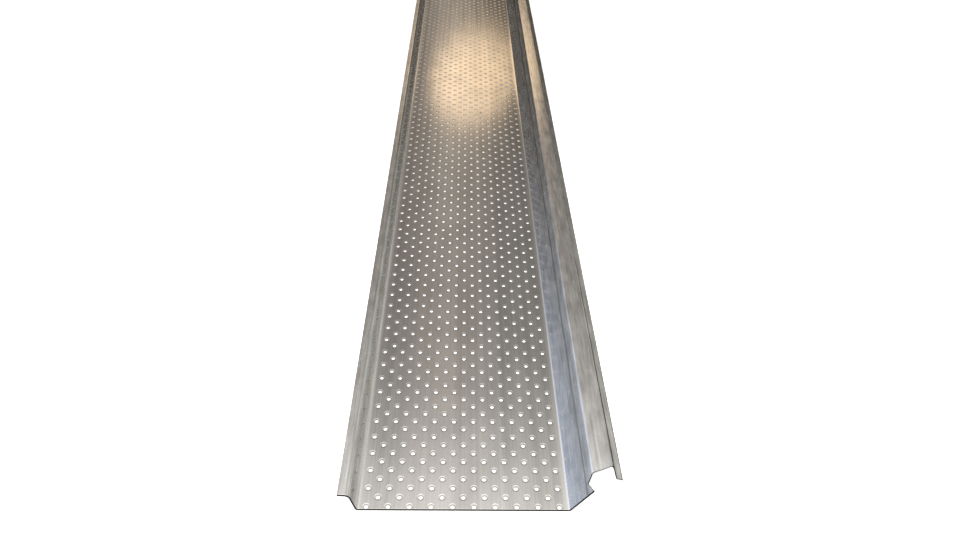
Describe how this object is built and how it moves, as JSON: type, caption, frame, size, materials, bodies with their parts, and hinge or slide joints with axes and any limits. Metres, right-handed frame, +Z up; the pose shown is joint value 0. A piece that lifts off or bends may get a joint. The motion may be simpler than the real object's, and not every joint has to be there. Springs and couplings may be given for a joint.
{
  "type": "gutter guard",
  "caption": "Roll-formed aluminium gutter guard: a perforated flat strip with a stepped back lip and a sloped, shelved front flange with a notched end, to keep leaves out of a roof gutter.",
  "frame": {"origin": "under the middle of the sheet, on the floor that the flat panel lies on", "axes": "+X across the sheet from the stepped back lip to the sloped front flange, +Y along the sheet away from its notched end, +Z up out of the panel's upper face"},
  "size_m": [0.1308, 0.9144, 0.0174],
  "materials": {
    "bare_aluminium": "bare mill finish with fine lengthwise rolling streaks, light scuffs and smudges"
  },
  "bodies": {
    "root": {"guard_sheet": "bare_aluminium"}
  },
  "joints": []
}
